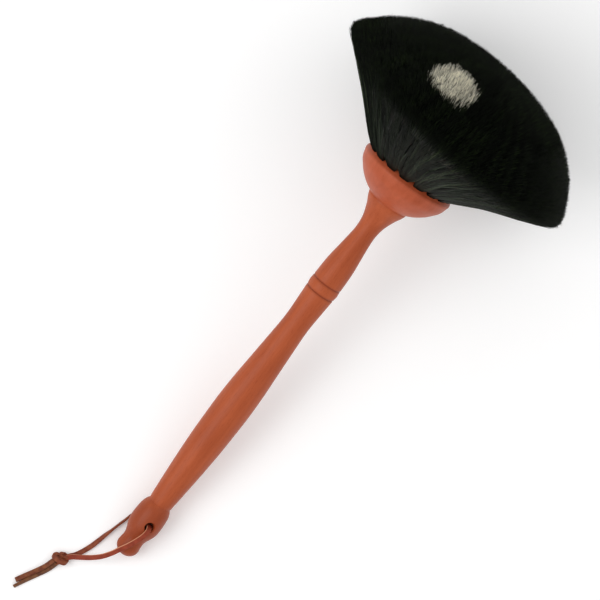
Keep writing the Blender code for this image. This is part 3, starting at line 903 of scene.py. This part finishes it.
def make_tuft(tuft, materials, rng):
    """One tuft as a single piece: its dense core and its hairs."""
    parts = tuft_parts(tuft, rng)
    bases = np.cumsum([0] + [len(part[0]) for part in parts])
    points = pressed(row_frame(np.concatenate([part[0] for part in parts])))
    quads = np.concatenate([part[1] + base for part, base in zip(parts, bases)])
    triangles = np.concatenate([part[2] + base for part, base in zip(parts, bases)])
    mesh = mesh_from_arrays(tuft.name + "_hair", points, quads, triangles)
    places = np.concatenate([part[3] for part in parts])
    corners = np.concatenate([quads.ravel(), triangles.ravel()])
    uv = mesh.uv_layers.new(name=HAIR_MAP)
    uv.data.foreach_set("uv", places[corners].astype(np.float32).ravel())
    slots = np.concatenate([np.full(len(part[k]), part[4]) for k in (1, 2) for part in parts])
    mesh.polygons.foreach_set("material_index", slots.astype(np.int32))
    piece = add_object(tuft.name + "_hair", mesh, *materials)
    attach(piece, "brush")
    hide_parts(tuft.name)


def make_hair():
    black = hair_material(
        "black_hair",
        # darkest at the root and towards the end: painted shade deep among the hairs and among the
        # ends seen end-on
        along=[
            (0.0, (0.0015, 0.0024, 0.0013)), (0.10, (0.006, 0.0088, 0.0052)),
            (0.45, (0.0115, 0.0158, 0.0100)), (0.80, (0.0085, 0.0120, 0.0070)),
            (0.94, (0.0030, 0.0050, 0.0018)), (1.0, (0.0022, 0.0042, 0.0010)),
        ],
        spread=[
            (0.0, (0.15, 0.15, 0.15)), (0.45, (0.7, 0.7, 0.7)),
            (0.75, (2.2, 2.2, 2.2)), (1.0, (8.5, 8.0, 6.8)),
        ],
        roughness=0.5, specular=0.1,
    )
    white = hair_material(
        "white_hair",
        # darker towards the root: painted shade where the white hair goes in among the black
        along=[(0.80, (0.08, 0.06, 0.04)), (0.90, (0.45, 0.41, 0.31)), (1.0, (0.98, 0.95, 0.80))],
        spread=[(0.0, (0.2, 0.19, 0.16)), (0.35, (0.9, 0.9, 0.9)), (1.0, (1.6, 1.6, 1.6))],
        roughness=0.55, specular=0.25,
    )
    # The core inside each tuft is near black with no specular: painted shade deep inside the tuft
    dark, _, shader = new_material("hair_core_shade", 0.9)
    shader.inputs["Base Color"].default_value = (0.0018, 0.0024, 0.0018, 1.0)
    shader.inputs["Specular IOR Level"].default_value = 0.0
    seed = 0
    for ring, count, polar, inner, outer, turn in RINGS:
        for i in range(count):
            name = ring if count == 1 else f"{ring}_{i + 1:02d}"
            angles = (polar, inner, outer, turn + 360 * i / count, 180 / count)
            tuft = Tuft(name, *[math.radians(angle) for angle in angles])
            seed += 1
            materials = (black, dark, white) if name == WHITE_TUFT else (black, dark)
            make_tuft(tuft, materials, np.random.default_rng(seed))


# Floor and light


def make_floor():
    mesh = bpy.data.meshes.new("floor")
    half = 8.0
    corners = [(-half, -half, 0), (half, -half, 0), (half, half, 0), (-half, half, 0)]
    mesh.from_pydata(corners, [], [(0, 1, 2, 3)])
    made, _, shader = new_material("floor_paper", 0.9)
    shader.inputs["Base Color"].default_value = (0.95, 0.95, 0.95, 1.0)
    shader.inputs["Emission Color"].default_value = (1.0, 1.0, 1.0, 1.0)
    shader.inputs["Emission Strength"].default_value = 0.12
    add_object("floor", mesh, made)


def area_light(name, place, size, power):
    """A square light that faces the brush."""
    data = bpy.data.lights.new(name, "AREA")
    data.shape = "SQUARE"
    data.size = size
    data.energy = power
    light = bpy.data.objects.new(name, data)
    place = Vector(place)
    turn = place.to_track_quat("Z", "Y").to_matrix().to_4x4()
    light.matrix_world = Matrix.Translation(place) @ turn
    bpy.context.collection.objects.link(light)


def make_light():
    world = bpy.data.worlds.new("studio")
    bpy.context.scene.world = world
    world.use_nodes = True
    background = world.node_tree.nodes["Background"]
    background.inputs["Color"].default_value = (1.0, 1.0, 1.0, 1.0)
    background.inputs["Strength"].default_value = 0.75
    area_light("key", (-0.9, 1.1, 1.8), 1.4, 17.0)
    area_light("fill", (1.3, -0.9, 1.6), 1.6, 3.0)
    bpy.context.scene.view_settings.view_transform = "Standard"


make_camera()
make_lace()
make_wood()
make_hair()
make_floor()
make_light()
